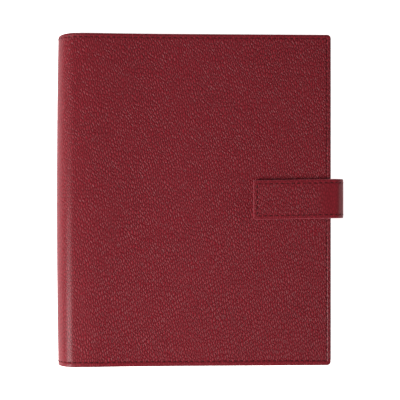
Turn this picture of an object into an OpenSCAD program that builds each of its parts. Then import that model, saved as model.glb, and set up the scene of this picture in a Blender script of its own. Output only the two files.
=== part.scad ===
// Ring album for coins: a leather case of three boards with a strap closure,
// a four-ring mechanism on the back board and clear pocket leaves.
// X runs from the spine to the fore-edge, Y along the spine, Z up off the table.

/* [Case] */
// Width of the closed case, spine to fore-edge
cover_w = 194.8; // [160:0.5:230]
// Height of the case along the spine
cover_h = 235; // [215:1:290]
// Thickness of the closed case at its fore-edge
edge_h = 21; // [19:0.5:26]
// Slope of the front board, in degrees
front_slope = 3.6; // [3:0.1:4.5]
// Outer radius of the soft spine shoulders
shoulder_r = 14; // [10:0.5:15]
// Radius of the case corners at the fore-edge
corner_r = 3; // [1:0.5:8]

/* [Layers] */
// Thickness of the outer leather
leather_t = 1.2; // [0.8:0.1:1.6]
// Thickness of the cover boards
board_t = 1.6; // [1.4:0.1:2.4]
// Thickness of the lining
lining_t = 0.6; // [0.4:0.1:1]
// Thickness of the flexible card in the spine
spine_card_t = 0.8; // [0.5:0.1:1.2]
// Width of leather turned in over the board edges
turn_w = 2; // [1.5:0.5:6]

/* [Strap] */
// Width of the strap
strap_w = 28; // [18:1:40]
// Length of the strap that lies on the front cover
strap_lap = 55.3; // [40:0.5:80]
// How far the strap stands out past the fore-edge
strap_bulge = 9.2; // [9:0.2:14]
// Thickness of the strap's outer leather
strap_leather_t = 1.4; // [1.2:0.1:2]
// Thickness of the strap's backing leather
strap_backing_t = 1.2; // [0.8:0.1:1.6]
// Outer radius of the strap's two bends
strap_bend_r = 7.5; // [6:0.5:8]
// Distance of the strap's middle above the case's middle, along the spine
strap_y = 1; // [-20:1:20]
// Radius of the hidden magnets
magnet_r = 7; // [5:0.5:9]
// Thickness of the hidden magnets
magnet_t = 1; // [0.6:0.1:1.2]

/* [Ring mechanism] */
// Mean radius of a closed ring
ring_r = 12; // [10:0.5:12.5]
// Diameter of the ring wire
wire_d = 2.4; // [1.6:0.1:2.6]
// Distance of the two inner rings from the middle
ring_inner_y = 32.5; // [20:0.5:40]
// Distance of the two outer rings from the middle
ring_outer_y = 77.5; // [60:0.5:80]
// Length of the arched cover plate
plate_l = 176; // [172:1:190]
// Width of the arched cover plate
plate_w = 18.8; // [18:0.2:22]
// Thickness of the mechanism's sheet steel
plate_t = 0.8; // [0.5:0.1:0.8]
// Distance of the ring centres from the outside of the spine
ring_x = 22; // [20:0.5:26]
// Width of the end levers
lever_w = 8; // [6:0.5:8]
// Length of the end levers from their pin
lever_l = 13; // [10:0.5:14]
// Radius of the lever pins
pin_r = 0.8; // [0.6:0.1:1]

/* [Leaves] */
// Width of a pocket leaf
leaf_w = 152; // [120:1:154]
// Height of a pocket leaf
leaf_h = 206; // [170:1:210]
// Thickness of an empty pocket leaf
leaf_t = 0.8; // [0.4:0.1:0.8]
// Distance from one leaf to the next
leaf_pitch = 1; // [0.9:0.05:1.05]
// Radius of the punched holes
hole_r = 3.75; // [3.6:0.05:4.2]
// Distance from a hole's middle to the leaf's inner edge
hole_margin = 5.5; // [5.2:0.1:6]

/* [Hidden] */

$fn = 64;
slack = 1;
leather_red = [0.42, 0.12, 0.16];
lining_red = [0.30, 0.08, 0.11];
board_grey = [0.45, 0.43, 0.40];
steel = [0.78, 0.79, 0.80];
clear = [0.85, 0.90, 0.93, 0.4];

// The closed case is centred on the origin together with its strap.
left_x = -(cover_w + strap_bulge) / 2;
cover_t = leather_t + board_t + lining_t;
soft_t = leather_t + lining_t;
board_end_x = shoulder_r;
half_h = cover_h / 2;

// The front cover's outline: flat over the rings, a long fall, then a straight board.
hump_slope = 9.5;
hump_x0 = shoulder_r + 2;
hump_x1 = 30;
fall_x0 = 38;
fall_x1 = 90;
hump_r = (hump_x1 - hump_x0) / sin(hump_slope);
fall_r = (fall_x1 - fall_x0) / (sin(hump_slope) - sin(front_slope));
board_drop = (cover_w - fall_x1) * tan(front_slope);
fall_drop = fall_r * (cos(front_slope) - cos(hump_slope));
hump_drop = hump_r * (1 - cos(hump_slope)) + (fall_x0 - hump_x1) * tan(hump_slope);
case_h = edge_h + board_drop + fall_drop + hump_drop;

// Each soft shoulder is shared by two pieces that meet halfway round it.
hinge_gap_a = 0.6;

function arc(cx, cz, r, a0, a1, n) =
    [for (i = [0:n]) [cx + r * cos(a0 + (a1 - a0) * i / n), cz + r * sin(a0 + (a1 - a0) * i / n)]];
function flip(pts) = [for (i = [len(pts) - 1:-1:0]) pts[i]];

// Outlines of the three covers at a depth t below the outer leather.
function back_line(t) = concat(
    arc(shoulder_r, shoulder_r, shoulder_r - t, 225 + hinge_gap_a, 270, 8),
    [[cover_w + slack, t]]);
function spine_line(t) = concat(
    arc(shoulder_r, shoulder_r, shoulder_r - t, 225 - hinge_gap_a, 180, 8),
    arc(shoulder_r, case_h - shoulder_r, shoulder_r - t, 180, 135 + hinge_gap_a, 8));
function front_line(t) = concat(
    arc(shoulder_r, case_h - shoulder_r, shoulder_r - t, 135 - hinge_gap_a, 90, 8),
    arc(hump_x0, case_h - hump_r, hump_r - t, 90, 90 - hump_slope, 6),
    arc(fall_x1 + fall_r * sin(front_slope), edge_h + board_drop + fall_r * cos(front_slope),
        fall_r + t, 270 - hump_slope, 270 - front_slope, 10),
    [[cover_w + slack, edge_h - slack * tan(front_slope) - t / cos(front_slope)]]);

// A layer between two outlines, drawn in the XZ plane and run along Y.
module layer(outer, inner, length) {
    translate([left_x, length / 2, 0])
        rotate([90, 0, 0])
            linear_extrude(length) polygon(concat(outer, flip(inner)));
}

least_corner_r = 0.5;
// The cover's plan, inset from its three free edges, from x0 to the fore-edge.
module plan(inset, x0) {
    r = max(corner_r - inset, least_corner_r);
    x1 = cover_w - inset;
    y1 = half_h - inset;
    translate([left_x, 0, -slack])
        linear_extrude(case_h + 2 * slack)
            polygon(concat(
                [[x0, -y1]], arc(x1 - r, -y1 + r, r, 270, 360, 6),
                arc(x1 - r, y1 - r, r, 0, 90, 6), [[x0, y1]]));
}

// Leather tray: skin over the whole cover and a wall turned in round the board.
module leather_tray(skin_out, skin_in, wall_in) {
    intersection() {
        layer(skin_out, skin_in, cover_h);
        plan(0, 0);
    }
    difference() {
        intersection() {
            layer(skin_in, wall_in, cover_h);
            plan(0, board_end_x);
        }
        plan(turn_w, board_end_x - slack);
    }
}

module board_layer(outer, inner) {
    intersection() {
        layer(outer, inner, cover_h);
        plan(turn_w, board_end_x);
    }
}

// Lining: over the board, down its end and on along the soft shoulder.
module lining_layer(skin_in, soft_in, board_in, wall_in) {
    intersection() {
        layer(board_in, wall_in, cover_h);
        plan(turn_w, board_end_x);
    }
    difference() {
        intersection() {
            layer(skin_in, soft_in, cover_h);
            plan(turn_w, 0);
        }
        plan(0, board_end_x);
    }
    intersection() {
        layer(skin_in, wall_in, cover_h);
        plan(turn_w, board_end_x - lining_t);
        translate([left_x, -half_h, -slack])
            cube([board_end_x, cover_h, case_h + 2 * slack]);
    }
}

/* Back cover */
anchor_l = 20;
module anchor_tab() {
    translate([left_x + cover_w - anchor_l, strap_y - strap_w / 2, leather_t])
        cube([anchor_l, strap_w, board_t]);
}
module back_leather() {
    color(leather_red) difference() {
        leather_tray(back_line(0), back_line(leather_t), back_line(cover_t));
        anchor_tab();
    }
}
module back_board() {
    color(board_grey) difference() {
        board_layer(back_line(leather_t), back_line(leather_t + board_t));
        anchor_tab();
        for (y = [-rivet_y, rivet_y]) translate([left_x + ring_x, y, 0]) {
            cylinder(r = rivet_r, h = cover_t);
            cylinder(r = rivet_head_r, h = leather_t + rivet_head_t);
        }
    }
}
module back_lining() {
    color(lining_red) difference() {
        lining_layer(back_line(leather_t), back_line(soft_t),
            back_line(leather_t + board_t), back_line(cover_t));
        for (y = [-rivet_y, rivet_y])
            translate([left_x + ring_x, y, 0]) cylinder(r = rivet_r, h = cover_t + slack);
    }
}

/* Spine */
spine_t = leather_t + spine_card_t + lining_t;
module spine_leather() {
    color(leather_red) layer(spine_line(0), spine_line(leather_t), cover_h);
}
module spine_card() {
    color(board_grey)
        layer(spine_line(leather_t), spine_line(leather_t + spine_card_t), cover_h - 2 * turn_w);
}
module spine_lining() {
    color(lining_red)
        layer(spine_line(leather_t + spine_card_t), spine_line(spine_t), cover_h - 2 * turn_w);
}

/* Front cover */
module front_leather() {
    color(leather_red) leather_tray(front_line(0), front_line(leather_t), front_line(cover_t));
}
module front_board() {
    color(board_grey) difference() {
        board_layer(front_line(leather_t), front_line(leather_t + board_t));
        cover_magnet_disc();
    }
}
module front_lining() {
    color(lining_red)
        lining_layer(front_line(leather_t), front_line(soft_t),
            front_line(leather_t + board_t), front_line(cover_t));
}

/* Strap: out of the back cover's fore-edge, up, and over the front cover. */
strap_t = strap_leather_t + strap_backing_t;
strap_gap = 0.35;
strap_z = 0.6;
bend_gap_a = 1.2;
bend_x = cover_w + strap_bulge - strap_bend_r;
low_bend_z = strap_z + strap_bend_r;
top_bend_z = edge_h + strap_gap / cos(front_slope) - (bend_x - cover_w) * tan(front_slope)
    - (strap_bend_r - strap_t) / cos(front_slope);
tongue_l = strap_lap / cos(front_slope) + (bend_x - cover_w);
strap_tip_r = 2;

// A point t deep in the tongue, s along it from its bend.
function tongue_pt(s, t) = [
    bend_x + (strap_bend_r - t) * sin(front_slope) - s * cos(front_slope),
    top_bend_z + (strap_bend_r - t) * cos(front_slope) + s * sin(front_slope)];
function tongue_line(t) = concat(
    arc(bend_x, top_bend_z, strap_bend_r - t, 45 + bend_gap_a, 90 - front_slope, 8),
    [tongue_pt(tongue_l + strap_bend_r * sin(front_slope), t)]);
function bridge_line(t) = concat(
    arc(bend_x, low_bend_z, strap_bend_r - t, -45 + bend_gap_a, 0, 8),
    arc(bend_x, top_bend_z, strap_bend_r - t, 0, 45 - bend_gap_a, 8));
function anchor_line(t) = concat(
    [[cover_w, strap_z + t]],
    arc(bend_x, low_bend_z, strap_bend_r - t, -90, -45 - bend_gap_a, 8));

module strap_layer(line_out, line_in) {
    translate([0, strap_y, 0]) layer(line_out, line_in, strap_w);
}
module tongue_layer(t0, t1) {
    tip_x = cover_w - strap_lap;
    end_x = cover_w + strap_bulge + slack;
    intersection() {
        strap_layer(tongue_line(t0), tongue_line(t1));
        translate([left_x, strap_y, 0]) linear_extrude(case_h + 2 * strap_bend_r)
            polygon(concat(
                [[end_x, strap_w / 2]],
                arc(tip_x + strap_tip_r, strap_w / 2 - strap_tip_r, strap_tip_r, 90, 180, 6),
                arc(tip_x + strap_tip_r, -strap_w / 2 + strap_tip_r, strap_tip_r, 180, 270, 6),
                [[end_x, -strap_w / 2]]));
    }
}

// The magnets sit one over the other, square to the front board.
magnet_from_tip = 15;
magnet_s = tongue_l - magnet_from_tip;
module magnet_at(depth) {
    p = tongue_pt(magnet_s, depth);
    translate([left_x + p[0], strap_y, p[1]]) rotate([0, front_slope, 0]) children();
}
module cover_magnet_disc() {
    magnet_at(strap_t + strap_gap + leather_t + magnet_t) cylinder(r = magnet_r, h = magnet_t);
}
module strap_magnet_disc() {
    magnet_at(strap_leather_t) cylinder(r = magnet_r, h = magnet_t);
}

module strap_anchor() {
    color(leather_red) {
        anchor_tab();
        strap_layer(anchor_line(0), anchor_line(strap_t));
    }
}
module strap_bridge() {
    color(leather_red) strap_layer(bridge_line(0), bridge_line(strap_t));
}
module strap_tongue() {
    color(leather_red) difference() {
        tongue_layer(0, strap_leather_t);
        strap_magnet_disc();
    }
}
module strap_backing() {
    color(lining_red) tongue_layer(strap_leather_t, strap_t);
}
module strap_magnet() {
    color(steel) strap_magnet_disc();
}
module cover_magnet() {
    color(steel) cover_magnet_disc();
}

/* Ring mechanism: an arched plate over two blades that carry the ring halves. */
wire_r = wire_d / 2;
plate_z = cover_t;
lip_h = 2.8;
arch_h = 2.6;
blade_gap = 0.3;
blade_lift = 0.6;
blade_z = plate_z + blade_lift;
ring_z = blade_z + plate_t / 2 + ring_r;
ring_gap = 0.1;
foot_a = 252;
slot_spare = 1.2;
slot_w = wire_d + slot_spare;
slot_l = 5.6;
slot_above_blade = 0.4;
arch_r = (pow(plate_w / 2, 2) + pow(arch_h, 2)) / (2 * arch_h);
arch_z = plate_z + lip_h + arch_h - arch_r;
blade_end = 8;
blade_l = plate_l - 2 * blade_end;
rivet_y = (ring_inner_y + ring_outer_y) / 2;
rivet_r = 1.5;
rivet_head_r = 3;
rivet_head_t = 0.8;
rivet_clearance = 0.5;
ring_ys = [-ring_outer_y, -ring_inner_y, ring_inner_y, ring_outer_y];

function plate_line(t) = concat(
    [[ring_x - plate_w / 2 + t, plate_z]],
    arc(ring_x, arch_z, arch_r - t, 90 + asin((plate_w / 2 - t) / (arch_r - t)),
        90 - asin((plate_w / 2 - t) / (arch_r - t)), 16),
    [[ring_x + plate_w / 2 - t, plate_z]]);

// One ring's half, from its join at the top down to its foot in the blade.
module half_ring(y) {
    translate([left_x + ring_x, y, ring_z]) rotate([90, 0, 0])
        rotate([0, 0, 90]) rotate_extrude(angle = foot_a - 90)
            translate([ring_r, 0]) circle(r = wire_r);
}
module half_rings() {
    difference() {
        for (y = ring_ys) half_ring(y);
        translate([left_x + ring_x - ring_gap, -half_h, ring_z])
            cube([ring_r, cover_h, 2 * ring_r]);
    }
}
module blade() {
    x0 = ring_x - plate_w / 2 + plate_t + blade_gap;
    difference() {
        translate([left_x + x0, -blade_l / 2, blade_z])
            cube([ring_x - ring_gap - x0, blade_l, plate_t]);
        for (y = ring_ys) half_ring(y);
        for (y = [-rivet_y, rivet_y]) translate([left_x + ring_x, y, 0])
            cylinder(r = rivet_r + rivet_clearance, h = ring_z);
    }
}
// The right-hand pieces are the left-hand ones turned over about the ring centres.
module other_side() {
    translate([2 * (left_x + ring_x), 0, 0]) mirror([1, 0, 0]) children();
}

module ring_plate() {
    slot_x = ring_x - plate_w / 2 - slack;
    color(steel) difference() {
        layer(plate_line(0), plate_line(plate_t), plate_l);
        for (y = ring_ys) {
            ring_slot(slot_x, y);
            other_side() ring_slot(slot_x, y);
        }
        for (y = [-rivet_y, rivet_y]) translate([left_x + ring_x, y, 0])
            cylinder(r = rivet_r, h = ring_z);
        for (s = [-1, 1]) lever_pin(s);
    }
}
module ring_slot(x, y) {
    translate([left_x + x, y - slot_w / 2, blade_z + plate_t + slot_above_blade])
        cube([slot_l, slot_w, ring_r]);
}
module blade_left() {
    color(steel) blade();
}
module blade_right() {
    color(steel) other_side() blade();
}
module ring_halves_left() {
    color(steel) half_rings();
}
module ring_halves_right() {
    color(steel) other_side() half_rings();
}

/* Levers at the plate's ends, turning on pins between its lips. */
pin_rise = 2.1;
pin_end = 2.5;
pin_z = plate_z + pin_rise;
pin_y = plate_l / 2 - pin_end;
hub_r = 2 * pin_r;
pin_clearance = 0.05;
lever_rise = 26;
tab_l = 5;
module lever_pin(side) {
    translate([left_x + ring_x - plate_w / 2, side * pin_y, pin_z])
        rotate([0, 90, 0]) cylinder(r = pin_r, h = plate_w);
}
module lever() {
    translate([left_x + ring_x - lever_w / 2, pin_y, pin_z]) difference() {
        union() {
            rotate([0, 90, 0]) cylinder(r = hub_r, h = lever_w);
            rotate([lever_rise, 0, 0]) translate([0, 0, -plate_t / 2])
                cube([lever_w, lever_l, plate_t]);
            rotate([lever_rise, 0, 0]) translate([0, lever_l - tab_l, -plate_t / 2])
                cube([lever_w, tab_l, 2 * plate_t]);
        }
        translate([-slack, 0, 0]) rotate([0, 90, 0])
            cylinder(r = pin_r + pin_clearance, h = lever_w + 2 * slack);
    }
}
module lever_top() {
    color(steel) lever();
}
module lever_bottom() {
    color(steel) mirror([0, 1, 0]) lever();
}
module lever_pins() {
    color(steel) for (s = [-1, 1]) lever_pin(s);
}
module plate_rivets() {
    top_z = plate_z + lip_h + arch_h;
    color(steel) {
        difference() {
            for (y = [-rivet_y, rivet_y]) translate([left_x + ring_x, y, top_z - plate_t / 2])
                cylinder(r = rivet_head_r, h = rivet_head_t + plate_t / 2);
            layer(plate_line(0), plate_line(plate_t), plate_l);
        }
        for (y = [-rivet_y, rivet_y]) translate([left_x + ring_x, y, leather_t]) {
            cylinder(r = rivet_head_r, h = rivet_head_t);
            cylinder(r = rivet_r, h = top_z - leather_t);
        }
    }
}

/* Pocket leaves: equal sheets threaded on the rings, one above the other. */
// The lowest leaf clears the plate at the rings and the lining at its far edge.
leaf_clearance = 0.2;
leaf_z = plate_z + lip_h + arch_h + leaf_clearance;
leaf_rest_gap = 0.85;
leaf_tilt = -asin((leaf_z - leaf_t / 2 - plate_z - leaf_rest_gap) / (leaf_w + ring_r));
hole_out = 1.5;
leaf_corner_r = 3;
module leaf(i) {
    d = ring_z - leaf_z - (i - 1) * leaf_pitch;
    x_hole = sqrt(pow(ring_r, 2) - pow(d, 2)) + hole_out;
    x0 = x_hole - hole_margin;
    x1 = x0 + leaf_w;
    y1 = leaf_h / 2;
    r = leaf_corner_r;
    color(clear)
        translate([left_x + ring_x, 0, ring_z]) rotate([0, -leaf_tilt, 0])
            translate([0, 0, -d - leaf_t / 2]) difference() {
                linear_extrude(leaf_t) polygon(concat(
                    arc(x0 + r, -y1 + r, r, 180, 270, 6), arc(x1 - r, -y1 + r, r, 270, 360, 6),
                    arc(x1 - r, y1 - r, r, 0, 90, 6), arc(x0 + r, y1 - r, r, 90, 180, 6)));
                for (y = ring_ys) translate([x_hole, y, -slack])
                    cylinder(r = hole_r, h = leaf_t + 2 * slack);
            }
}

back_leather();
back_board();
back_lining();
spine_leather();
spine_card();
spine_lining();
front_leather();
front_board();
front_lining();
strap_anchor();
strap_bridge();
strap_tongue();
strap_backing();
strap_magnet();
cover_magnet();
ring_plate();
blade_left();
blade_right();
ring_halves_left();
ring_halves_right();
lever_top();
lever_bottom();
lever_pins();
plate_rivets();
leaf(1);  // leaf_1
leaf(2);  // leaf_2
leaf(3);  // leaf_3
leaf(4);  // leaf_4
leaf(5);  // leaf_5
leaf(6);  // leaf_6
leaf(7);  // leaf_7
leaf(8);  // leaf_8
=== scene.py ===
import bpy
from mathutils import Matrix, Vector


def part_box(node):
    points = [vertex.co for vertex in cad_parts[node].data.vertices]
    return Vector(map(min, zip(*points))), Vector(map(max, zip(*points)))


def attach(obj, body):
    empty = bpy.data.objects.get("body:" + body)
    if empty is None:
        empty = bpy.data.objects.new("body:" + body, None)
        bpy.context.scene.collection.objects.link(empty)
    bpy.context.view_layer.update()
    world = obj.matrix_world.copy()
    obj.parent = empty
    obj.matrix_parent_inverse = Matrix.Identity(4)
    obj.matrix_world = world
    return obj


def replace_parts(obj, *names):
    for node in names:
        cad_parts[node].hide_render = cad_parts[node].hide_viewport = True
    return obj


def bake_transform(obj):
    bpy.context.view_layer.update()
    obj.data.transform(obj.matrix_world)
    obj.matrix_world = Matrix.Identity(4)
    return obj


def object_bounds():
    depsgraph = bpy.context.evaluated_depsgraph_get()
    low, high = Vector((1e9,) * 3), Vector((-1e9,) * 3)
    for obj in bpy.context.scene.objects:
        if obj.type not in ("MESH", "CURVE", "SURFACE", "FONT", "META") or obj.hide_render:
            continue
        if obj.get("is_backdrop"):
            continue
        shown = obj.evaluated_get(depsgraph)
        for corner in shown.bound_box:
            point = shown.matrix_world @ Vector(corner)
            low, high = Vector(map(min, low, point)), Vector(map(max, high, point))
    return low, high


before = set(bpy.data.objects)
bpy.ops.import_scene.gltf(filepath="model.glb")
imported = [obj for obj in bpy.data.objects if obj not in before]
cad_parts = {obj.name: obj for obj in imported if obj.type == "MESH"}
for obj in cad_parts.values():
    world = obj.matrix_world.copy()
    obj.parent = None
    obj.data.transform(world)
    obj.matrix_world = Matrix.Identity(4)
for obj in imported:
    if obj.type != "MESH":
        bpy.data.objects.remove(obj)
cad_lo, cad_hi = ([float(v) for v in corner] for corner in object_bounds())

import math

import bmesh
import bpy
import numpy as np
from mathutils import Matrix, Vector

# Camera: it hangs straight above the album, its picture's top towards +Y.
# The long lens keeps the sides nearly parallel.
MM = 0.001
CAMERA_X = -0.3 * MM
CAMERA_HEIGHT = 1.2
CAMERA_REACH = 20
LENS_MM = 151.6
edge_z = float(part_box("front_board")[0][2])
camera_data = bpy.data.cameras.new("camera")
camera_data.lens = LENS_MM
camera_data.clip_end = CAMERA_REACH
camera = bpy.data.objects.new("camera", camera_data)
camera.location = (CAMERA_X, 0, edge_z + CAMERA_HEIGHT)
bpy.context.scene.collection.objects.link(camera)
bpy.context.scene.camera = camera
bpy.context.scene.view_settings.view_transform = "Standard"


def linear(hex_colour, alpha=1.0):
    """An sRGB hex colour as the linear values that the shaders take."""
    parts = [int(hex_colour[i:i + 2], 16) / 255 for i in (1, 3, 5)]
    return [p / 12.92 if p <= 0.04045 else ((p + 0.055) / 1.055) ** 2.4 for p in parts] + [alpha]


def add(tree, kind, links=None, **settings):
    """One node with its settings, and links from other nodes' sockets to its inputs."""
    node = tree.nodes.new(kind)
    for key, value in settings.items():
        if key in node.inputs.keys():
            node.inputs[key].default_value = value
        else:
            setattr(node, key.lower(), value)
    for key, source in (links or {}).items():
        tree.links.new(source, node.inputs[key])
    return node


def new_material(name, **surface):
    """A material with one Principled surface, its settings given by socket name."""
    material = bpy.data.materials.new(name)
    material.use_nodes = True
    shader = material.node_tree.nodes["Principled BSDF"]
    for key, value in surface.items():
        shader.inputs[key.replace("_", " ")].default_value = value
    return material, material.node_tree, shader


# Floor: a white sweep lit from within, as on a light table, so that it stays
# white and takes almost no shadow. Three soft boxes light the album: a strong one
# on the near left, a weak fill from the far side and a weak low one for the right edge.
FLOOR_SIZE = 8
white_sweep = new_material(
    "white_sweep", Base_Color=linear("#F4F4F4"), Roughness=0.9,
    Emission_Color=linear("#FFFFFF"), Emission_Strength=0.95)[0]
bpy.ops.mesh.primitive_plane_add(size=FLOOR_SIZE, location=(0, 0, cad_lo[2]))
floor = bpy.context.object
floor.name = "floor"
floor.data.materials.append(white_sweep)
floor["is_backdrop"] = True


def soft_box(name, azimuth, elevation, distance, size, watts):
    """A round soft box that faces the album, azimuth counted from +X and in degrees."""
    light = bpy.data.lights.new(name, "AREA")
    light.shape = "DISK"
    light.size = size
    light.energy = watts
    lamp = bpy.data.objects.new(name, light)
    a, e = math.radians(azimuth), math.radians(elevation)
    toward = Vector((math.cos(a) * math.cos(e), math.sin(a) * math.cos(e), math.sin(e)))
    lamp.location = toward * distance
    lamp.rotation_euler = toward.to_track_quat("Z", "Y").to_euler()
    bpy.context.scene.collection.objects.link(lamp)


soft_box("key_soft_box", azimuth=208, elevation=42, distance=1.0, size=0.6, watts=15.5)
soft_box("fill_soft_box", azimuth=115, elevation=45, distance=1.6, size=0.9, watts=5)
soft_box("edge_soft_box", azimuth=350, elevation=16, distance=1.3, size=0.7, watts=4.5)
world = bpy.data.worlds.new("studio")
world.use_nodes = True
world.node_tree.nodes["Background"].inputs["Color"].default_value = linear("#D8D8D8")
world.node_tree.nodes["Background"].inputs["Strength"].default_value = 0.12
bpy.context.scene.world = world


# Case leather: one hide of pebbled calf, dyed dark red and drummed so that its
# grain stands up in small pebbles. It wraps front board, spine and back board.
# The eye sees a satin sheen on the pebbles and darker creases between them; the creases' darker colour is
# painted shade.
PEBBLE = 1.5 * MM
GRAIN_LEAN = math.radians(-20)
GRAIN_DRAW = 0.5
WANDER = 3 * PEBBLE
FINE_SHARE = 0.12
TAUT_MATT = 0.16
FLAT = "flat"
TAUT = "taut"
COLOUR_A, COLOUR_B, COLOUR_OUT = 6, 7, 2  # the Mix node's colour sockets


def pebbled_leather(name, colour, shaded_crease, top, relief, roughness):
    """Pebbled hide: domed cells of one pebble with creases between them, laid out on
    the flat hide. The creases take a darker colour, painted shade where the pebbles
    shade them. The relief fades where the hide is stretched smooth round a bend. The
    clear finish over it lies smoother than the grain, which draws a soft band of sheen
    along the rounded shoulder."""
    material, tree, shader = new_material(
        name, IOR=1.46, Specular_IOR_Level=0.18, Coat_Weight=0.2, Coat_Roughness=0.27)
    place = add(tree, "ShaderNodeAttribute", attribute_name=FLAT)
    taut = add(tree, "ShaderNodeAttribute", attribute_name=TAUT)
    wander = add(tree, "ShaderNodeTexNoise", {"Vector": place.outputs["Vector"]},
                 Scale=0.07 / PEBBLE, Detail=1.0)
    bent = add(tree, "ShaderNodeVectorMath", {0: wander.outputs["Color"]},
               operation="SCALE", Scale=WANDER)
    moved = add(tree, "ShaderNodeVectorMath",
                {0: place.outputs["Vector"], 1: bent.outputs["Vector"]}, operation="ADD")
    drawn = add(tree, "ShaderNodeMapping", {"Vector": moved.outputs["Vector"]},
                Rotation=(0, 0, GRAIN_LEAN), Scale=(1 / PEBBLE, GRAIN_DRAW / PEBBLE, 1))
    cell = add(tree, "ShaderNodeTexVoronoi", {"Vector": drawn.outputs["Vector"]},
               voronoi_dimensions="2D", feature="DISTANCE_TO_EDGE", Scale=1.0, Randomness=0.8)
    dome = add(tree, "ShaderNodeMapRange", {"Value": cell.outputs["Distance"]},
               interpolation_type="SMOOTHSTEP")
    dome.inputs["From Max"].default_value = 0.38
    fine = add(tree, "ShaderNodeTexNoise", {"Vector": place.outputs["Vector"]},
               Scale=1.8 / PEBBLE, Detail=2.0, Roughness=0.6)
    height = add(tree, "ShaderNodeMath", {0: fine.outputs["Fac"], 2: dome.outputs["Result"]},
                 operation="MULTIPLY_ADD")
    height.inputs[1].default_value = FINE_SHARE
    slack = add(tree, "ShaderNodeMapRange", {"Value": taut.outputs["Fac"]})
    slack.inputs["To Min"].default_value = 1.0
    slack.inputs["To Max"].default_value = 0.08
    bump = add(tree, "ShaderNodeBump",
               {"Height": height.outputs["Value"], "Strength": slack.outputs["Result"]},
               Distance=relief)
    cloud = add(tree, "ShaderNodeTexNoise", {"Vector": place.outputs["Vector"]},
                Scale=0.05 / PEBBLE, Detail=3.0)
    # The darker crease colour goes into the creases between the domes: painted shade.
    shade = add(tree, "ShaderNodeMix", {0: dome.outputs["Result"]}, data_type="RGBA")
    shade.inputs[COLOUR_A].default_value = linear(shaded_crease)
    shade.inputs[COLOUR_B].default_value = linear(colour)
    tint = add(tree, "ShaderNodeMix", {0: cloud.outputs["Fac"], COLOUR_A: shade.outputs[COLOUR_OUT]},
               data_type="RGBA")
    tint.inputs[COLOUR_B].default_value = linear(top)
    gloss = add(tree, "ShaderNodeMapRange", {"Value": fine.outputs["Fac"]})
    gloss.inputs["To Min"].default_value = roughness - 0.05
    gloss.inputs["To Max"].default_value = roughness + 0.08
    worn = add(tree, "ShaderNodeMath", {0: taut.outputs["Fac"], 2: gloss.outputs["Result"]},
               operation="MULTIPLY_ADD")
    worn.inputs[1].default_value = TAUT_MATT
    tree.links.new(bump.outputs["Normal"], shader.inputs["Normal"])
    tree.links.new(tint.outputs[COLOUR_OUT], shader.inputs["Base Color"])
    tree.links.new(worn.outputs["Value"], shader.inputs["Roughness"])
    return material


# The darker crease colour is painted shade in the creases between the pebbles.
calf = dict(colour="#871E29", shaded_crease="#520912", top="#72141F", relief=0.34 * MM, roughness=0.45)
case_leather = pebbled_leather("case_leather", **calf)

# The closed case: its left and right sides, half its length along the spine and its
# height come from the frame. The front cover leaves the shoulder flat, falls from a
# crest over the rings, and eases at the foot of the fall into the board's slope.
front_hi = Vector(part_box("front_leather")[1])
left_x = cad_lo[0]
right_x = front_hi.x
half_l = Vector(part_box("back_leather")[1]).y
case_h = front_hi.z
SHOULDER_R = 14 * MM
CREST_FLAT = 2 * MM
CREST_RUN = 14 * MM
FALL_RUN = 8 * MM
FOOT_RUN = 52 * MM
SLOPE = 3.6
HUMP_SLOPE = 9.5
SKIN = 1.2 * MM
TURN_IN = 2 * MM
CORNER_R = 3 * MM
LEAST_R = 0.3 * MM
TINY = 1e-9


def outline(x, z, heading, inside, runs):
    """A side view line of straights and arcs, given as (length, turn in degrees).
    at(s, depth) is the point s along it and depth towards the inside, which is
    the right of the way along for inside = -1 and the left for inside = 1."""
    stations = []
    total = 0
    for length, turn in runs:
        stations.append((total, x, z, heading, length, math.radians(turn)))
        total += length
        a = math.radians(turn)
        mean = heading + a / 2
        chord = length if abs(a) < TINY else length * math.sin(a / 2) / (a / 2)
        x, z, heading = x + chord * math.cos(mean), z + chord * math.sin(mean), heading + a

    def at(s, depth):
        start, x0, z0, h0, length, a = [st for st in stations if st[0] <= max(s, 0) + TINY][-1]
        part = a * (s - start) / length
        mean = h0 + part / 2
        chord = (s - start) if abs(part) < TINY else (s - start) * math.sin(part / 2) / (part / 2)
        h = h0 + part
        nx, nz = -inside * math.sin(h), inside * math.cos(h)
        return x0 + chord * math.cos(mean) + depth * nx, z0 + chord * math.sin(mean) + depth * nz
    return at, total


# The front outline runs from the middle of the spine round the shoulder, over the
# rings and down the board; the back one round the lower shoulder and along the table.
quarter = SHOULDER_R * math.pi / 2
spine_half = case_h / 2 - SHOULDER_R
fall = math.radians(HUMP_SLOPE)
slope = math.radians(SLOPE)
crest_r = CREST_RUN / math.sin(fall)
foot_r = FOOT_RUN / (math.sin(fall) - math.sin(slope))
hump_end = left_x + SHOULDER_R + CREST_FLAT + CREST_RUN + FALL_RUN + FOOT_RUN
front_at, front_len = outline(left_x, case_h / 2, math.pi / 2, -1, [
    (spine_half, 0), (quarter, -90), (CREST_FLAT, 0),
    (crest_r * fall, -HUMP_SLOPE), (FALL_RUN / math.cos(fall), 0),
    (foot_r * (fall - slope), HUMP_SLOPE - SLOPE), ((right_x - hump_end) / math.cos(slope), 0)])
back_at, back_len = outline(left_x, case_h / 2, -math.pi / 2, 1, [
    (spine_half, 0), (quarter, 90), (right_x - left_x - SHOULDER_R, 0)])


def steps(a, b, spacing):
    """Even places from a to b, about one spacing apart."""
    return list(np.linspace(a, b, max(2, round((b - a) / spacing) + 1)))


def smooth(t):
    """Eases from 0 to 1 as t goes from 0 to 1."""
    t = min(max(t, 0), 1)
    return t * t * (3 - 2 * t)


UPPER_END = (0.010, 2.2 * MM)  # the share of the length drawn in, and the radius of the roll
LOWER_END = (0.002, 1.4 * MM)
SPINE_DENT = 1.2 * MM
DRAWN_FROM = 0.55


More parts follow.
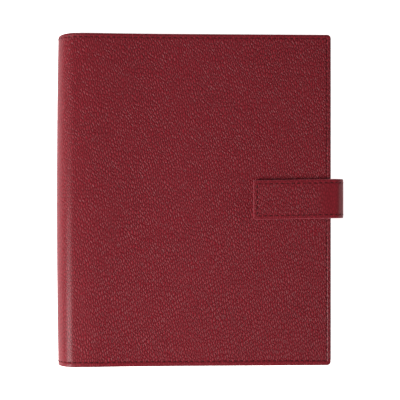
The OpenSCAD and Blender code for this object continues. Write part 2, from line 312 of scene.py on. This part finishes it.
def pulled(s, y):
    """Where soft leather really lies: the spine's middle stands out, and its ends, the
    upper one more than the lower, are drawn in and rolled round."""
    soft = 1 - smooth((s - spine_half * 0.4) / (quarter * 1.15))
    across = y / half_l
    drawn, roll = UPPER_END if y > 0 else LOWER_END
    past = max(roll - (half_l - abs(y)), 0)
    rolled = roll - math.sqrt(roll ** 2 - past ** 2)
    return (y * (1 - drawn * soft * smooth((abs(across) - DRAWN_FROM) / (1 - DRAWN_FROM))),
            soft * (SPINE_DENT * across * across + rolled))


TOGETHER = 0.01 * MM
SLIVER = 0.002 * MM
SHARP = math.radians(75)


def tidy_mesh(piece):
    """Joins points that fall together at corners and turns every face outwards."""
    bm = bmesh.new()
    bm.from_mesh(piece.data)
    bmesh.ops.remove_doubles(bm, verts=bm.verts, dist=TOGETHER)
    bmesh.ops.dissolve_degenerate(bm, edges=bm.edges, dist=SLIVER)
    bmesh.ops.recalc_face_normals(bm, faces=bm.faces)
    bm.to_mesh(piece.data)
    bm.free()


def mesh_piece(name, verts, faces, flat, material, taut=None, edge_material=None, painted=()):
    """A mesh from lists. flat holds each point's place on the flat hide, for the grain,
    taut how far it is stretched there, from 0 to 1, and painted the faces that take
    edge_material."""
    mesh = bpy.data.meshes.new(name)
    mesh.from_pydata(verts, [], faces)
    layer = mesh.attributes.new(FLAT, "FLOAT_VECTOR", "POINT")
    layer.data.foreach_set("vector", np.array(flat, np.float32).ravel())
    if taut:
        layer = mesh.attributes.new(TAUT, "FLOAT", "POINT")
        layer.data.foreach_set("value", np.array(taut, np.float32))
    piece = bpy.data.objects.new(name, mesh)
    bpy.context.scene.collection.objects.link(piece)
    piece.data.materials.append(material)
    if edge_material:
        piece.data.materials.append(edge_material)
        for k in painted:
            piece.data.polygons[k].material_index = 1
    tidy_mesh(piece)
    piece.data.polygons.foreach_set("use_smooth", [True] * len(piece.data.polygons))
    piece.data.set_sharp_from_angle(angle=SHARP)
    return piece


def in_plan(s, y, inset, length, half, radius):
    """A point moved in from the free edges by inset, with the two fore-edge corners rounded."""
    s, side, y = min(s, length - inset), (1 if y >= 0 else -1), min(abs(y), half - inset)
    r = max(radius - inset, LEAST_R)
    u, v = s - (length - inset - r), y - (half - inset - r)
    if u > 0 and v > 0:
        pull = max(u, v) / math.hypot(u, v)
        s, y = length - inset - r + u * pull, half - inset - r + v * pull
    return s, side * y


def tray(name, at, length, half, s_list, y_list, top, loops, floor_inset, floor_depth, radius,
         material, taut_at, grain=0, y_mid=lambda s: 0, edge_material=None, painted_in=0):
    """A closed shell of leather laid along an outline: the outer side, whose depth
    is top(s, y), then loops round its free edges, each (inset, depth function), then the
    inner side. The end at s = 0 is cut square. grain tells one piece of hide from
    another, y_mid(s) shifts the piece sideways, and edge_material also covers the outer
    side within painted_in of the free edges."""
    ns, ny = len(s_list), len(y_list)
    verts, flat, taut, faces = [], [], [], []

    def put(s, y, inset, depth):
        s1, y1 = in_plan(s, y, inset, length, half, radius)
        y2, dent = pulled(s1, y1) if at in (front_at, back_at) else (y1, 0)
        x, z = at(s1, depth(s1, y1))
        verts.append((x + dent, y2 + y_mid(s1), z))
        flat.append((s1, y1, grain))
        taut.append(taut_at(s1, y1))
        return len(verts) - 1

    outer = [[put(s, y, 0, top) for y in y_list] for s in s_list]
    inner = [[put(s, y, floor_inset, floor_depth) for y in y_list] for s in s_list]
    rim = [(i, 0) for i in range(ns)] + [(ns - 1, j) for j in range(1, ny)] + \
        [(i, ny - 1) for i in range(ns - 2, -1, -1)]
    rings = [[outer[i][j] for i, j in rim]]
    for inset, depth in loops:
        rings.append([put(s_list[i], y_list[j], inset, depth) for i, j in rim])
    rings.append([inner[i][j] for i, j in rim])
    for grid in (outer, inner):
        for i in range(ns - 1):
            for j in range(ny - 1):
                faces.append((grid[i][j], grid[i + 1][j], grid[i + 1][j + 1], grid[i][j + 1]))
    plain = len(faces)
    for a, b in zip(rings, rings[1:]):
        for k in range(len(rim) - 1):
            faces.append((a[k], a[k + 1], b[k + 1], b[k]))
    painted = list(range(plain, len(faces)))
    painted += [i * (ny - 1) + j for i in range(ns - 1) for j in range(ny - 1)
                if min(length - s_list[i], half - abs(y_list[j]), half - abs(y_list[j + 1])) < painted_in]
    cut = [j for j in range(ny) if abs(y_list[j]) <= half - floor_inset + TINY]
    for j in cut[:-1]:
        faces.append((outer[0][j], outer[0][j + 1], inner[0][j + 1], inner[0][j]))
    low = [outer[0][j] for j in range(cut[0], -1, -1)] + [r[0] for r in rings[1:-1]]
    high = [outer[0][j] for j in range(cut[-1], ny)] + [r[-1] for r in rings[1:-1]]
    faces.append(tuple(low + [inner[0][cut[0]]]))
    faces.append(tuple(high + [inner[0][cut[-1]]]))
    return mesh_piece(name, verts, faces, flat, material, taut, edge_material, painted)


# The hide is skived, turned in 2 mm over the boards and sewn near the edge. The
# thread draws a shallow groove, and the leather swells a little outside it.
SEAM_TOP = 2.8 * MM
SEAM_BOTTOM = 3.4 * MM
SEAM_FORE = 3.0 * MM
GROOVE = 0.26 * MM
SWELL = 0.32 * MM
SWELL_AT = 0.66
SEAM_SPREAD = 0.42 * MM
EDGE_ROUND = 0.8 * MM
EDGE_STEPS = [e * MM for e in (0, 0.12, 0.35, 0.7, 1.1, 1.6, 2.0, 2.3, 2.6, 2.8, 3.0, 3.2,
                               3.4, 3.7, 4.1, 5.0, 6.5)]


def edge_profile(e, seam, swollen):
    """Depth of the outer leather at a distance e from a sewn edge; swollen is 0 where it
    is stretched."""
    inside = max(EDGE_ROUND - e, 0)
    rounding = EDGE_ROUND - math.sqrt(EDGE_ROUND ** 2 - inside ** 2)
    groove = GROOVE * math.exp(-((e - seam) / SEAM_SPREAD) ** 2)
    swell = SWELL * swollen * math.exp(-((e - SWELL_AT * seam) / SEAM_SPREAD) ** 2)
    return rounding + groove - swell


def case_top(length):
    """Depth of the case's outer side, from the nearest sewn edge."""
    def depth(s, y):
        side = half_l - abs(y)
        if length - s < side:
            return edge_profile(length - s, SEAM_FORE, 1)
        seam = SEAM_TOP if y > 0 else SEAM_BOTTOM
        return edge_profile(side, seam, smooth((s - spine_half) / quarter))
    return depth


SPINE_T = 2.6 * MM
BOARD_EXTRA = 0.8 * MM
HEM_CUT = 0.4 * MM


def wall_depth(s):
    """Full thickness of the case: boarded cover, or the thinner spine."""
    return SPINE_T + BOARD_EXTRA * smooth((s - spine_half - 0.55 * quarter) / (0.5 * quarter))


def turned_edge():
    """The edge, from the rounded outside over the board and back in at the turned hem."""
    def short_of_wall(back):
        return lambda s, y: wall_depth(s) - back
    return [(0, short_of_wall(0.7 * MM)), (0.12 * MM, short_of_wall(0.3 * MM)),
            (0.4 * MM, short_of_wall(0.05 * MM)), (0.8 * MM, short_of_wall(0)),
            (TURN_IN, short_of_wall(0)), (TURN_IN, lambda s, y: SKIN + HEM_CUT)]


def from_edge(b):
    """Mesh lines that close up towards a sewn edge at b."""
    return [b - e for e in reversed(EDGE_STEPS)]


def case_ys(half):
    """Mesh lines across the case, close together at both sewn edges."""
    rim = from_edge(half)
    flat = steps(-rim[0] + 2 * MM, rim[0] - 2 * MM, spacing=3.6 * MM)
    return [-y for y in rim[::-1]] + flat + rim


def case_ss(length):
    """Mesh lines along the outline, close together round the shoulder and at the fore-edge."""
    bends = steps(0, spine_half + quarter + 4 * MM, spacing=0.9 * MM)
    flat = steps(bends[-1] + 2 * MM, length - 8.5 * MM, spacing=2.6 * MM)
    return bends + flat + from_edge(length)


def fold_front(piece, slot):
    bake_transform(piece)


def fold_back(piece, slot):
    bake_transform(piece)


PRESSED = 0.6
PRESSED_RIM = 2.5 * MM
PRESSED_FADE = 2 * MM


def pressed_rim(side):
    """How flat the grain is pressed between the thread and the edge, at side from it."""
    return PRESSED * (1 - smooth((side - PRESSED_RIM) / PRESSED_FADE))


def case_taut(s, y):
    """Stretched smooth over the spine, and pressed flat between the thread and the edge."""
    bend = 1 - smooth((s - spine_half - 0.3 * quarter) / (0.4 * quarter))
    return max(bend, pressed_rim(half_l - abs(y)))


def case_skin(name, at, length, grain):
    """The leather of one half of the case, from the middle of the spine to the fore-edge."""
    return tray(name, at, length, half_l, case_ss(length), case_ys(half_l), case_top(length),
                turned_edge(), TURN_IN, lambda s, y: SKIN, CORNER_R, case_leather, case_taut, grain)


front_skin = case_skin("front_skin", front_at, front_len, 0)
back_skin = case_skin("back_skin", back_at, back_len, 0.4)
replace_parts(front_skin, "front_leather", "spine_leather")
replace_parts(back_skin, "back_leather")
fold_front(front_skin, "red_leather")
fold_back(back_skin, "red_leather")


# Thread: bonded polyester, waxed. A lockstitch machine laid it in the groove at 3.9 mm
# to the stitch; the same rows show on the inner side. Its near black red colour holds
# both the thread's own red and painted shade of the stitch holes and the groove.
# The eye sees short dark dashes with a dull shine and a slight twist.
WAVE_STEP = 10  # what the Wave node's diagonal bands multiply a coordinate by
bonded_thread, tree, shader = new_material(
    "bonded_thread", Base_Color=linear("#46060D"), Roughness=0.8, Specular_IOR_Level=0.25)
PLY = 1 * MM
where = add(tree, "ShaderNodeTexCoord")
ply = add(tree, "ShaderNodeTexWave", {"Vector": where.outputs["Object"]}, wave_type="BANDS",
          bands_direction="DIAGONAL", Scale=math.tau / (WAVE_STEP * PLY))
twist = add(tree, "ShaderNodeBump", {"Height": ply.outputs["Fac"]}, Strength=0.5, Distance=0.05 * MM)
tree.links.new(twist.outputs["Normal"], shader.inputs["Normal"])
PITCH = 3.9 * MM
STITCH = 2.6 * MM
THREAD_R = 0.38 * MM
STITCH_RISE = 0.08 * MM
STITCH_DIP = 0.22 * MM
STITCH_SUNK = 0.15 * MM
STITCH_SIDES = 6
STITCH_RINGS = (-1, -0.86, -0.5, 0, 0.5, 0.86, 1)  # from end to end of a stitch


def seam_run(start, end):
    """Stitch middles at an even pitch along a straight seam on the flat hide, with its heading."""
    run = math.hypot(end[0] - start[0], end[1] - start[1])
    count = round(run / PITCH)
    ds, dy = (end[0] - start[0]) / run, (end[1] - start[1]) / run
    return [(start[0] + ds * run * (k + 0.5) / count, start[1] + dy * run * (k + 0.5) / count, ds, dy)
            for k in range(count)]


def stitches(name, runs, place):
    """Real stitches: each is a thread that dips at both ends and rises in the middle."""
    verts, faces = [], []
    around = [k * math.tau / STITCH_SIDES for k in range(STITCH_SIDES)]
    for s, y, ds, dy in runs:
        first = len(verts)
        for a in STITCH_RINGS:
            r = THREAD_R * math.sqrt(max(1 - a ** 6, 0.02))
            lift = STITCH_RISE * (1 - a * a) - STITCH_DIP * a ** 4
            for angle in around:
                side, up = r * math.cos(angle), lift + r * math.sin(angle)
                verts.append(place(s + a * STITCH / 2 * ds - side * dy,
                                   y + a * STITCH / 2 * dy + side * ds, up))
        last = STITCH_SIDES * (len(STITCH_RINGS) - 1)
        for k in range(len(STITCH_RINGS) - 1):
            low, high = first + STITCH_SIDES * k, first + STITCH_SIDES * (k + 1)
            for j in range(STITCH_SIDES):
                beside = (j + 1) % STITCH_SIDES
                faces.append((low + j, low + beside, high + beside, high + j))
        faces.append(tuple(first + j for j in reversed(range(STITCH_SIDES))))
        faces.append(tuple(first + last + j for j in range(STITCH_SIDES)))
    return mesh_piece(name, verts, faces, [(0, 0, 0)] * len(verts), bonded_thread)


def case_seams(length):
    """The three rows of one half: along the top, down the fore-edge and along the bottom."""
    top, bottom, fore = half_l - SEAM_TOP, -half_l + SEAM_BOTTOM, length - SEAM_FORE
    return seam_run((0, top), (fore, top)) + seam_run((fore, top), (fore, bottom)) + \
        seam_run((0, bottom), (fore, bottom))


def on_skin(at, depth):
    """Places a point of the flat hide on the leather, raised by up from a depth."""
    def place(s, y, up):
        y2, dent = pulled(s, y)
        x, z = at(s, depth(s, y, up))
        return x + dent, y2, z
    return place


def outside(length):
    """Depth of a thread that is raised by up from the outer leather."""
    top = case_top(length)
    return lambda s, y, up: top(s, y) - up


def inside(s, y, up):
    """Depth of a thread that is raised by up from the turned hem."""
    return wall_depth(s) + up - STITCH_SUNK


for name, at, length, fold in (("front", front_at, front_len, fold_front),
                               ("back", back_at, back_len, fold_back)):
    fold(stitches(name + "_seam", case_seams(length), on_skin(at, outside(length))), "red_leather")
    fold(stitches(name + "_seam_inside", case_seams(length), on_skin(at, inside)), "red_leather")


# Lining: a thin brushed microfibre in dark red, glued over the boards and the spine
# card up to the turned hem. The eye sees a flat, matt nap.
LINING_T = 0.6 * MM
HEM_GAP = 2.05 * MM
LINING_RIM = 0.4 * MM
LINING_SIDE = 0.15 * MM
LINING_ROUND = 0.12 * MM
LINING_R = 1 * MM
microfibre, tree, shader = new_material(
    "microfibre_lining", Roughness=0.92, Sheen_Weight=0.35, Sheen_Roughness=0.5)
place = add(tree, "ShaderNodeAttribute", attribute_name=FLAT)
nap = add(tree, "ShaderNodeTexNoise", {"Vector": place.outputs["Vector"]}, Scale=0.9 / MM, Detail=4.0)
brushed = add(tree, "ShaderNodeTexNoise", {"Vector": place.outputs["Vector"]},
              Scale=0.02 / MM, Detail=2.0)
mixed = add(tree, "ShaderNodeMath", {0: nap.outputs["Fac"], 1: brushed.outputs["Fac"]}, operation="ADD")
ramp = add(tree, "ShaderNodeMapRange", {"Value": mixed.outputs["Value"]})
ramp.inputs["From Min"].default_value = 0.7
ramp.inputs["From Max"].default_value = 1.3
shade = add(tree, "ShaderNodeMix", {0: ramp.outputs["Result"]}, data_type="RGBA")
shade.inputs[COLOUR_A].default_value = linear("#54191F")
shade.inputs[COLOUR_B].default_value = linear("#641F28")
rough = add(tree, "ShaderNodeBump", {"Height": nap.outputs["Fac"]}, Strength=0.6, Distance=0.1 * MM)
tree.links.new(shade.outputs[COLOUR_OUT], shader.inputs["Base Color"])
tree.links.new(rough.outputs["Normal"], shader.inputs["Normal"])


def lining(name, at, length, nodes, fold):
    """The lining of one half of the case, its cut edge rounded off by the pressing."""
    length, half = length - HEM_GAP, half_l - HEM_GAP
    ss = steps(0, spine_half + quarter + 4 * MM, spacing=1.2 * MM)
    ss += steps(ss[-1] + 4 * MM, length - 4 * MM, spacing=5 * MM) + [length - LINING_RIM, length]
    ys = steps(-half + 4 * MM, half - 4 * MM, spacing=9 * MM)
    ys = [-half, -half + LINING_RIM] + ys + [half - LINING_RIM, half]

    def glued(s, y):
        return wall_depth(s) - LINING_T

    def edge(s, y):
        return wall_depth(s) - LINING_SIDE

    def nap_side(s, y):
        return wall_depth(s) - LINING_ROUND * (min(length - s, half - abs(y)) < LINING_RIM / 2)
    piece = tray(name, at, length, half, ss, ys, glued, [(0, edge)], 0, nap_side, LINING_R,
                 microfibre, case_taut)
    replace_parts(piece, *nodes)
    fold(piece, "lining")


lining("front_lining_cloth", front_at, front_len, ["front_lining", "spine_lining"], fold_front)
lining("back_lining_cloth", back_at, back_len, ["back_lining"], fold_back)


# Boards: grey millboard in the covers, and a thinner card in the spine that bends with
# the leather, all cut 2 mm short. The eye sees mottled pulp, but only inside the case.
CARD_T = 0.8 * MM
millboard, tree, shader = new_material("grey_millboard", Roughness=0.9)
where = add(tree, "ShaderNodeTexCoord")
pulp = add(tree, "ShaderNodeTexNoise", {"Vector": where.outputs["Object"]}, Scale=0.6 / MM, Detail=5.0)
shade = add(tree, "ShaderNodeMix", {0: pulp.outputs["Fac"]}, data_type="RGBA")
shade.inputs[COLOUR_A].default_value = linear("#9A958C")
shade.inputs[COLOUR_B].default_value = linear("#C2BDB3")
rough = add(tree, "ShaderNodeBump", {"Height": pulp.outputs["Fac"]}, Strength=0.4, Distance=0.1 * MM)
tree.links.new(shade.outputs[COLOUR_OUT], shader.inputs["Base Color"])
tree.links.new(rough.outputs["Normal"], shader.inputs["Normal"])


def finish_nodes(material, *names):
    """Gives CAD nodes that keep their own shape a finish."""
    for name in names:
        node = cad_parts[name]
        node.data.materials.clear()
        node.data.materials.append(material)


finish_nodes(millboard, "front_board", "back_board")


def spine_card(name, at, fold):
    """Half of the card, from the middle of the spine to halfway round a shoulder."""
    length, half = spine_half + quarter / 2, half_l - TURN_IN
    ss = steps(0, length, spacing=1.2 * MM)
    ys = steps(-half, half, spacing=6 * MM)
    piece = tray(name, at, length, half, ss, ys, lambda s, y: SKIN,
                 [(0, lambda s, y: SKIN + CARD_T / 2)], 0, lambda s, y: SKIN + CARD_T,
                 LEAST_R, millboard, case_taut)
    fold(piece, "board")
    return piece


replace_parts(spine_card("spine_card_upper", front_at, fold_front), "spine_card")
spine_card("spine_card_lower", back_at, fold_back)


# Strap: two strips of the same calf, sewn back to back, that come out of the back
# cover, pass the fore-edge and lie on the front. The cut edge is painted a dark red
# that is lighter than the hide, and this colour runs a little onto the outer side:
# a painted highlight of the rounded edge catching the light. The eye sees a slightly
# glossy, uneven, bright line round the strap.
edge_paint_highlight, tree, shader = new_material(
    "edge_paint_highlight", Base_Color=linear("#97404A"), Roughness=0.3, Coat_Weight=0.3)
where = add(tree, "ShaderNodeTexCoord")
brushed_on = add(tree, "ShaderNodeTexNoise", {"Vector": where.outputs["Object"]},
                 Scale=0.7 / MM, Detail=2.0)
bead = add(tree, "ShaderNodeBump", {"Height": brushed_on.outputs["Fac"]},
           Strength=0.4, Distance=0.08 * MM)
tree.links.new(bead.outputs["Normal"], shader.inputs["Normal"])
STRAP_W = 28 * MM
STRAP_T = 2.6 * MM
STRAP_BEND_R = 7.5 * MM
STRAP_SEAM = 2.7 * MM
STRAP_GROOVE = 0.2 * MM
STRAP_SPREAD = 0.4 * MM
CROWN = 0.16 * MM
CROWN_SPREAD = 1.6 * MM
EASE = 0.9 * MM
EASE_RUN = 14 * MM
TAUT_RUN = 22 * MM
STRAP_LEAN = math.tan(math.radians(1.0))
STRAP_ROUND = 0.6 * MM
TIP_R = 2 * MM
ROOT_R = 0.4 * MM
# How far the lighter edge colour reaches onto the outer side: it paints a highlight line along the edge.
HIGHLIGHT_OVER = 0.3 * MM
tongue_lo, tongue_hi = (Vector(c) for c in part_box("strap_tongue"))
anchor_lo = Vector(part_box("strap_anchor")[0])
strap_y = (tongue_lo.y + tongue_hi.y) / 2
bend_x = cad_hi[0] - STRAP_BEND_R
bend_len = STRAP_BEND_R * math.pi / 2
low_bend_z = anchor_lo.z + STRAP_BEND_R
tongue_run = (bend_x + STRAP_BEND_R * math.sin(slope) - tongue_lo.x) / math.cos(slope)
high_bend_z = tongue_hi.z - tongue_run * math.sin(slope) - STRAP_BEND_R * math.cos(slope)
bridge_half = (high_bend_z - low_bend_z) / 2
bridge_mid = (high_bend_z + low_bend_z) / 2
up_at, up_len = outline(cad_hi[0], bridge_mid, math.pi / 2, 1, [
    (bridge_half, 0), (STRAP_BEND_R * (math.pi / 2 - slope), 90 - SLOPE), (tongue_run, 0)])
down_at, down_len = outline(cad_hi[0], bridge_mid, -math.pi / 2, -1, [
    (bridge_half, 0), (bend_len, -90), (bend_x - anchor_lo.x, 0)])


def strap_ease(s):
    """The strap's bend starts early: the leather eases down before it turns the corner."""
    past = s - bridge_half - bend_len
    if past < 0:
        return EASE * smooth(1 + past / bend_len)
    return EASE * max(1 - past / EASE_RUN, 0) ** 2


def strap_top(length, tip):
    """Depth of the strap's outer side; the half with the tip is also sewn across its end."""
    def depth(s, y):
        side = STRAP_W / 2 - abs(y)
        e = min(side, length - s) if tip else side
        inner = max(STRAP_ROUND - e, 0)
        rounding = STRAP_ROUND - math.sqrt(STRAP_ROUND ** 2 - inner ** 2)
        groove = STRAP_GROOVE * math.exp(-((e - STRAP_SEAM) / STRAP_SPREAD) ** 2)
        crown = CROWN * math.exp(-(e / CROWN_SPREAD) ** 2)
        return rounding + groove + crown + (strap_ease(s) if tip else 0)
    return depth


def strap_taut(s, y):
    """Stretched smooth round the bend, and pressed flat between the thread and the edge."""
    bend = 1 - smooth((s - bridge_half - STRAP_BEND_R) / TAUT_RUN)
    return max(bend, pressed_rim(STRAP_W / 2 - abs(y)))


# Inset and depth down the cut edge: the outer leather, the line where the two strips
# meet, and the backing leather with its rounded corner.
LAYERED_EDGE = [(0, 1.3 * MM), (0.1 * MM, 1.42 * MM), (0, 1.56 * MM),
                (0, 2.15 * MM), (0.16 * MM, 2.45 * MM), (0.5 * MM, STRAP_T)]


def strap_half(name, at, length, tip, grain, nodes):
    """One half of the strap, from the middle of the bridge to its tip or its root."""
    half, seam_y = STRAP_W / 2, STRAP_W / 2 - STRAP_SEAM
    top = strap_top(length, tip)

    def y_mid(s):
        return strap_y - tip * STRAP_LEAN * max(s - bridge_half - bend_len, 0)
    rim = from_edge(half)
    ys = [-y for y in rim[::-1]] + steps(-5.5 * MM, 5.5 * MM, spacing=2 * MM) + rim
    ss = steps(0, bridge_half + STRAP_BEND_R * 1.6, spacing=0.7 * MM)
    ss += steps(ss[-1] + 1.5 * MM, length - 8 * MM, spacing=2 * MM) + from_edge(length)
    loops = [(inset, lambda s, y, depth=depth: depth) for inset, depth in LAYERED_EDGE]
    piece = tray(name, at, length, half, ss, ys, top, loops, LAYERED_EDGE[-1][0],
                 lambda s, y: STRAP_T, TIP_R if tip else ROOT_R, case_leather, strap_taut, grain,
                 y_mid, edge_paint_highlight, HIGHLIGHT_OVER)
    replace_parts(piece, *nodes)
    end = length - (STRAP_SEAM if tip else 0)
    seams = seam_run((0, -seam_y), (end, -seam_y)) + seam_run((0, seam_y), (end, seam_y))
    if tip:
        seams += seam_run((end, -seam_y), (end, seam_y))

    def place(depth):
        def put(s, y, up):
            x, z = at(s, depth(s, y, up))
            return x, y + y_mid(s), z
        return put
    sewn = (piece, stitches(name + "_seam", seams, place(lambda s, y, up: top(s, y) - up)),
            stitches(name + "_seam_inside", seams, place(lambda s, y, up: STRAP_T + up - STITCH_SUNK)))
    for part in sewn:
        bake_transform(part)


strap_half("strap_tongue_half", up_at, up_len, True, 0.8,
           ["strap_tongue", "strap_backing", "strap_bridge"])
strap_half("strap_anchor_half", down_at, down_len, False, 1.2,
           ["strap_anchor"])


# Ring mechanism: pressed spring steel, nickel plated and tumbled bright. The eye
# sees a clear but slightly soft reflection, with fine marks along the plate.
MARK_DRAW = 0.08
nickel, tree, shader = new_material("nickel_plated_steel", Metallic=1.0)
where = add(tree, "ShaderNodeTexCoord")
lengthways = add(tree, "ShaderNodeMapping", {"Vector": where.outputs["Object"]},
                 Scale=(1, MARK_DRAW, 1))
marks = add(tree, "ShaderNodeTexNoise", {"Vector": lengthways.outputs["Vector"]},
            Scale=1.2 / MM, Detail=4.0)
rub = add(tree, "ShaderNodeMapRange", {"Value": marks.outputs["Fac"]})
rub.inputs["To Min"].default_value = 0.16
rub.inputs["To Max"].default_value = 0.34
shade = add(tree, "ShaderNodeMix", {0: marks.outputs["Fac"]}, data_type="RGBA")
shade.inputs[COLOUR_A].default_value = linear("#C9C6BF")
shade.inputs[COLOUR_B].default_value = linear("#DEDCD7")
hair = add(tree, "ShaderNodeBump", {"Height": marks.outputs["Fac"]}, Strength=0.15, Distance=0.05 * MM)
tree.links.new(rub.outputs["Result"], shader.inputs["Roughness"])
tree.links.new(shade.outputs[COLOUR_OUT], shader.inputs["Base Color"])
tree.links.new(hair.outputs["Normal"], shader.inputs["Normal"])
finish_nodes(nickel, "ring_plate", "blade_left", "blade_right", "ring_halves_left", "ring_halves_right",
             "lever_top", "lever_bottom", "lever_pins", "plate_rivets", "strap_magnet", "cover_magnet")


# Leaves: eight clear soft PVC pocket leaves. Two films are welded in a grid of four by
# five pockets for coins, and a stiffer strip with four punched holes threads on the rings.
# The eye sees a glossy, faintly blue film that is pillowed between its weld lines.
LEAF_T = 0.8 * MM
LEAF_W = 152 * MM
STRIP_W = 12 * MM
HOLE_R = 3.75 * MM
HOLE_MARGIN = 5.5 * MM
POCKETS_ACROSS = 4
POCKETS_DOWN = 5
WELD = 0.9 * MM
WELD_HALF_T = 0.12 * MM
STRIP_UNDER = 0.05 * MM  # how far each face of the strip lies under the pillows' tops
LEAF_CORNER_R = 3 * MM
LEAF_CORNER_STEPS = 6
HOLE_STEPS = 32
KNURL = 1 * MM
RING_INNER_Y = 32.5 * MM
RING_OUTER_Y = 77.5 * MM
ring_ys = (-RING_OUTER_Y, -RING_INNER_Y, RING_INNER_Y, RING_OUTER_Y)
# Places along a pocket from weld to weld, and how far the film stands up there.
PILLOW = ((0.08, 0.45), (0.25, 0.9), (0.5, 1), (0.75, 0.9), (0.92, 0.45))
POCKET_LINES = 2 + len(PILLOW)
weld_line, tree, shader = new_material(
    "welded_soft_pvc", Base_Color=linear("#C3D0D6"), IOR=1.53, Alpha=0.45)
where = add(tree, "ShaderNodeTexCoord")
knurl = add(tree, "ShaderNodeTexWave", {"Vector": where.outputs["Object"]}, wave_type="BANDS",
            bands_direction="DIAGONAL", Scale=math.tau / (WAVE_STEP * KNURL))
matt = add(tree, "ShaderNodeMapRange", {"Value": knurl.outputs["Fac"]})
matt.inputs["To Min"].default_value = 0.35
matt.inputs["To Max"].default_value = 0.6
pressed = add(tree, "ShaderNodeBump", {"Height": knurl.outputs["Fac"]}, Strength=0.4, Distance=0.1 * MM)
tree.links.new(matt.outputs["Result"], shader.inputs["Roughness"])
tree.links.new(pressed.outputs["Normal"], shader.inputs["Normal"])
clear_film, tree, shader = new_material(
    "clear_soft_pvc", Base_Color=linear("#D3E0E6"), IOR=1.53, Alpha=0.1)
where = add(tree, "ShaderNodeTexCoord")
haze = add(tree, "ShaderNodeTexNoise", {"Vector": where.outputs["Object"]}, Scale=0.05 / MM, Detail=3.0)
gloss = add(tree, "ShaderNodeMapRange", {"Value": haze.outputs["Fac"]})
gloss.inputs["To Min"].default_value = 0.08
gloss.inputs["To Max"].default_value = 0.26
ripple = add(tree, "ShaderNodeBump", {"Height": haze.outputs["Fac"]}, Strength=0.5, Distance=0.6 * MM)
tree.links.new(gloss.outputs["Result"], shader.inputs["Roughness"])
tree.links.new(ripple.outputs["Normal"], shader.inputs["Normal"])


def leaf_mesh(length):
    """One leaf in its own plane: x from the bound edge, y along it, z out of it."""
    curve = bpy.data.curves.new("strip_outline", "CURVE")
    curve.dimensions = "2D"
    curve.fill_mode = "BOTH"
    curve.extrude = LEAF_T / 2 - STRIP_UNDER
    r, y1 = LEAF_CORNER_R, length / 2
    corner = [k * math.pi / 2 / LEAF_CORNER_STEPS for k in range(LEAF_CORNER_STEPS + 1)]
    outer = [(STRIP_W, -y1), (STRIP_W, y1)]
    outer += [(r - r * math.sin(a), y1 - r + r * math.cos(a)) for a in corner]
    outer += [(r - r * math.cos(a), -y1 + r - r * math.sin(a)) for a in corner]
    circle = [k * math.tau / HOLE_STEPS for k in range(HOLE_STEPS)]
    loops = [outer]
    for y in ring_ys:
        loops.append([(HOLE_MARGIN + HOLE_R * math.cos(a), y + HOLE_R * math.sin(a)) for a in circle])
    for loop in loops:
        spline = curve.splines.new("POLY")
        spline.points.add(len(loop) - 1)
        spline.points.foreach_set("co", [c for x, y in loop for c in (x, y, 0, 1)])
        spline.use_cyclic_u = True
    strip = bpy.data.objects.new("strip_outline", curve)
    bpy.context.scene.collection.objects.link(strip)
    bpy.context.view_layer.update()
    bm = bmesh.new()
    seen = strip.evaluated_get(bpy.context.evaluated_depsgraph_get())
    bm.from_mesh(bpy.data.meshes.new_from_object(seen))
    bpy.data.objects.remove(strip)
    bpy.data.curves.remove(curve)

    def cuts(first, last, count):
        """Grid lines over count pockets, each with how far the film stands up there: a
        flat weld, then the pillow, then the next weld."""
        cell = (last - first - WELD) / count
        lines = []
        for k in range(count):
            a = first + k * cell
            lines += [(a, 0), (a + WELD, 0)]
            lines += [(a + WELD + (cell - WELD) * t, high) for t, high in PILLOW]
        return lines + [(last - WELD, 0), (last, 0)]
    xs, ys = cuts(STRIP_W - WELD, LEAF_W, POCKETS_ACROSS), cuts(-y1, y1, POCKETS_DOWN)
    rise = LEAF_T / 2 - WELD_HALF_T
    sheets = []
    for side in (1, -1):
        sheets.append([[bm.verts.new((x, y, side * (WELD_HALF_T + rise * min(x_up, y_up))))
                        for y, y_up in ys] for x, x_up in xs])
    for grid in sheets:
        for i in range(len(xs) - 1):
            for j in range(len(ys) - 1):
                face = bm.faces.new((grid[i][j], grid[i + 1][j], grid[i + 1][j + 1], grid[i][j + 1]))
                face.material_index = int(i % POCKET_LINES == 0 or j % POCKET_LINES == 0)
    right, top = len(xs) - 1, len(ys) - 1
    rim = [(i, 0) for i in range(right)] + [(right, j) for j in range(top)]
    rim += [(i, top) for i in range(right, 0, -1)] + [(0, j) for j in range(top, 0, -1)]
    for (i, j), (m, n) in zip(rim, rim[1:] + rim[:1]):
        bm.faces.new((sheets[0][i][j], sheets[0][m][n], sheets[1][m][n], sheets[1][i][j]))
    bmesh.ops.remove_doubles(bm, verts=bm.verts, dist=TOGETHER / 2)
    bmesh.ops.recalc_face_normals(bm, faces=bm.faces)
    mesh = bpy.data.meshes.new("pocket_leaf")
    bm.to_mesh(mesh)
    bm.free()
    return mesh


for number in range(1, 9):
    node = "leaf_%d" % number
    lo, hi = (Vector(c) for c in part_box(node))
    tilt = math.asin((hi.z - lo.z - LEAF_T) / LEAF_W)
    leaf = bpy.data.objects.new("pocket_" + node, leaf_mesh(hi.y - lo.y))
    bpy.context.scene.collection.objects.link(leaf)
    leaf.data.materials.append(clear_film)
    leaf.data.materials.append(weld_line)
    corner = Vector((lo.x + LEAF_T / 2 * math.sin(tilt), 0, hi.z - LEAF_T / 2 * math.cos(tilt)))
    leaf.data.transform(Matrix.Translation(corner) @ Matrix.Rotation(tilt, 4, "Y"))
    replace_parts(leaf, node)
    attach(leaf, node)
